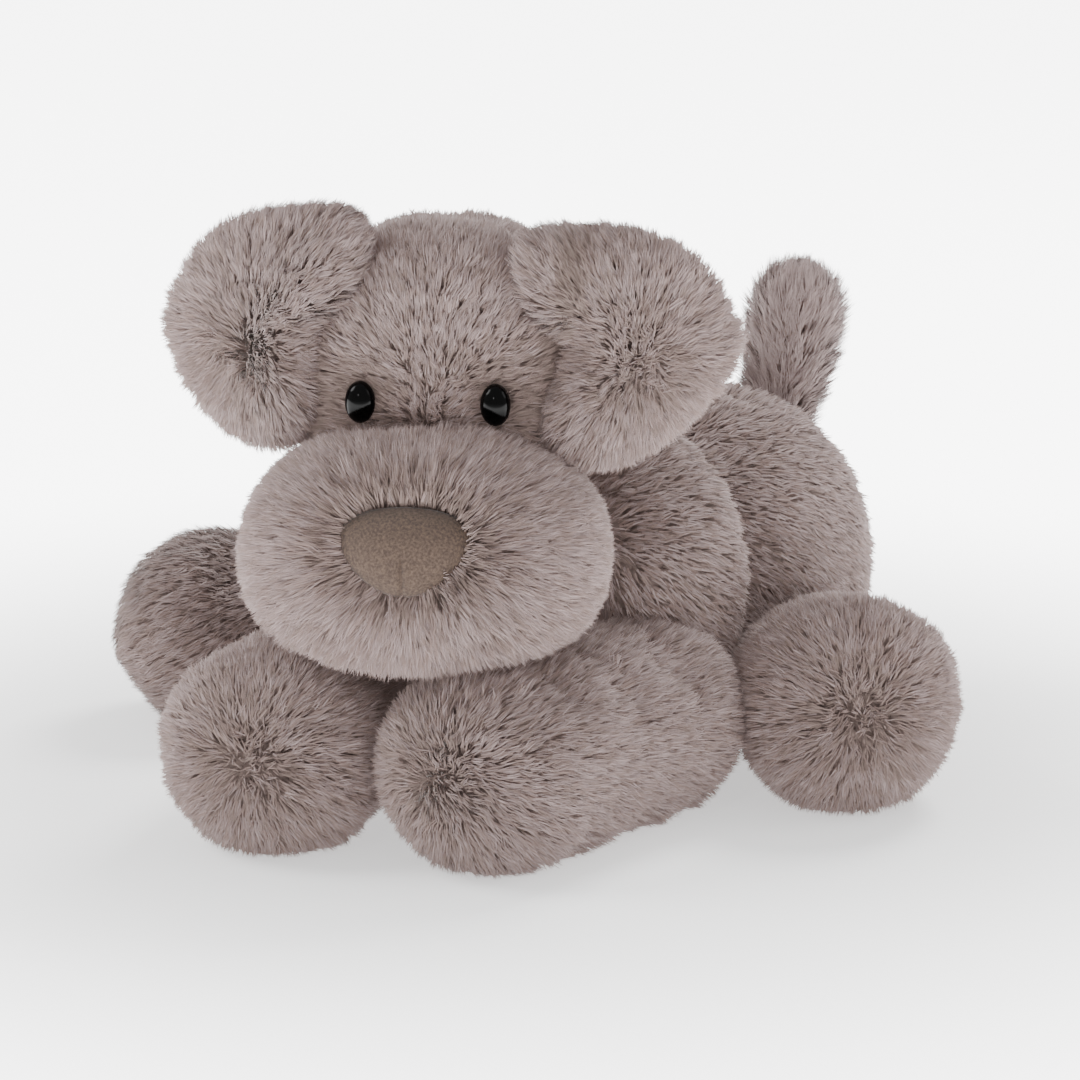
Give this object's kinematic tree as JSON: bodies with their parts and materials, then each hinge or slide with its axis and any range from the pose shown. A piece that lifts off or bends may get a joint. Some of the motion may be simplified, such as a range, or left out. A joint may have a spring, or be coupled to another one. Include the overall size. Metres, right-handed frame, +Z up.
{
  "type": "plush dog",
  "caption": "Long-pile plush dog lying on its belly with its head turned, as separate stuffed covers, ears, legs, tail, eyes and nose.",
  "frame": {"origin": "middle of the whole dog's footprint on the floor, z = 0 at the floor", "axes": "x runs to the dog's left, y from its chest to its rump, z up; the head is turned to its left"},
  "size_m": [0.3515, 0.3369, 0.2222],
  "materials": {
    "plush": "long brushed pile",
    "suede": "fine suede",
    "eye_plastic": "gloss",
    "washer_plastic": "satin",
    "fibre_filling": "loose fibre",
    "bean_cloth": "plain woven cloth round plastic beans",
    "thread": "twisted thread"
  },
  "bodies": {
    "torso": {"torso_cover": "plush", "torso_stuffing": "fibre_filling", "belly_beans": "bean_cloth", "closing_thread": "thread"},
    "neck": {"neck_cover": "plush", "neck_stuffing": "fibre_filling"},
    "head": {"head_cover": "plush", "head_stuffing": "fibre_filling", "muzzle_cover": "plush", "muzzle_stuffing": "fibre_filling", "nose_patch": "suede", "nose_padding": "fibre_filling", "left_eye": "eye_plastic", "right_eye": "eye_plastic", "left_eye_washer": "washer_plastic", "right_eye_washer": "washer_plastic"},
    "left_ear": {"left_ear_cover": "plush", "left_ear_wadding": "fibre_filling"},
    "right_ear": {"right_ear_cover": "plush", "right_ear_wadding": "fibre_filling"},
    "front_left_leg": {"front_left_leg_cover": "plush", "front_left_leg_stuffing": "fibre_filling", "front_left_leg_paw_beans": "bean_cloth"},
    "front_right_leg": {"front_right_leg_cover": "plush", "front_right_leg_stuffing": "fibre_filling", "front_right_leg_paw_beans": "bean_cloth"},
    "hind_left_leg": {"hind_left_leg_cover": "plush", "hind_left_leg_stuffing": "fibre_filling", "hind_left_leg_paw_beans": "bean_cloth"},
    "hind_right_leg": {"hind_right_leg_cover": "plush", "hind_right_leg_stuffing": "fibre_filling", "hind_right_leg_paw_beans": "bean_cloth"},
    "tail": {"tail_cover": "plush", "tail_stuffing": "fibre_filling"}
  },
  "joints": [
    {"name": "neck_turn", "type": "hinge", "parent": "torso", "child": "neck", "pos_m": [-0.0007, -0.0322, 0.1], "axis": [0, 0, 1], "range_deg": [-30, 12]},
    {"name": "head_nod", "type": "hinge", "parent": "neck", "child": "head", "pos_m": [-0.0007, -0.0322, 0.1], "axis": [-0.9205, -0.3907, 0], "range_deg": [0, 12], "stiffness_Nm_per_rad": 0.5},
    {"name": "left_ear_swing", "type": "hinge", "parent": "head", "child": "left_ear", "pos_m": [0.05621, -0.05367, 0.189], "axis": [0.2845, 0.1207, -0.9511], "range_deg": [-15, 30], "stiffness_Nm_per_rad": 0.05},
    {"name": "right_ear_swing", "type": "hinge", "parent": "head", "child": "right_ear", "pos_m": [-0.02755, -0.08923, 0.189], "axis": [0.2845, 0.1207, 0.9511], "range_deg": [-15, 30], "stiffness_Nm_per_rad": 0.05},
    {"name": "front_left_splay", "type": "hinge", "parent": "torso", "child": "front_left_leg", "pos_m": [0.0703, -0.0262, 0.037], "axis": [0, 0, 1], "range_deg": [0, 40]},
    {"name": "front_right_splay", "type": "hinge", "parent": "torso", "child": "front_right_leg", "pos_m": [-0.0417, -0.0462, 0.037], "axis": [0, 0, -1], "range_deg": [0, 40]},
    {"name": "hind_left_splay", "type": "hinge", "parent": "torso", "child": "hind_left_leg", "pos_m": [0.1013, 0.0678, 0.037], "axis": [0, 0, 1], "range_deg": [0, 35]},
    {"name": "hind_right_splay", "type": "hinge", "parent": "torso", "child": "hind_right_leg", "pos_m": [-0.0597, 0.0618, 0.037], "axis": [0, 0, -1], "range_deg": [0, 35]},
    {"name": "tail_wag", "type": "hinge", "parent": "torso", "child": "tail", "pos_m": [0.0423, 0.1438, 0.109], "axis": [0, 1, 0], "range_deg": [-30, 30], "stiffness_Nm_per_rad": 0.05}
  ]
}
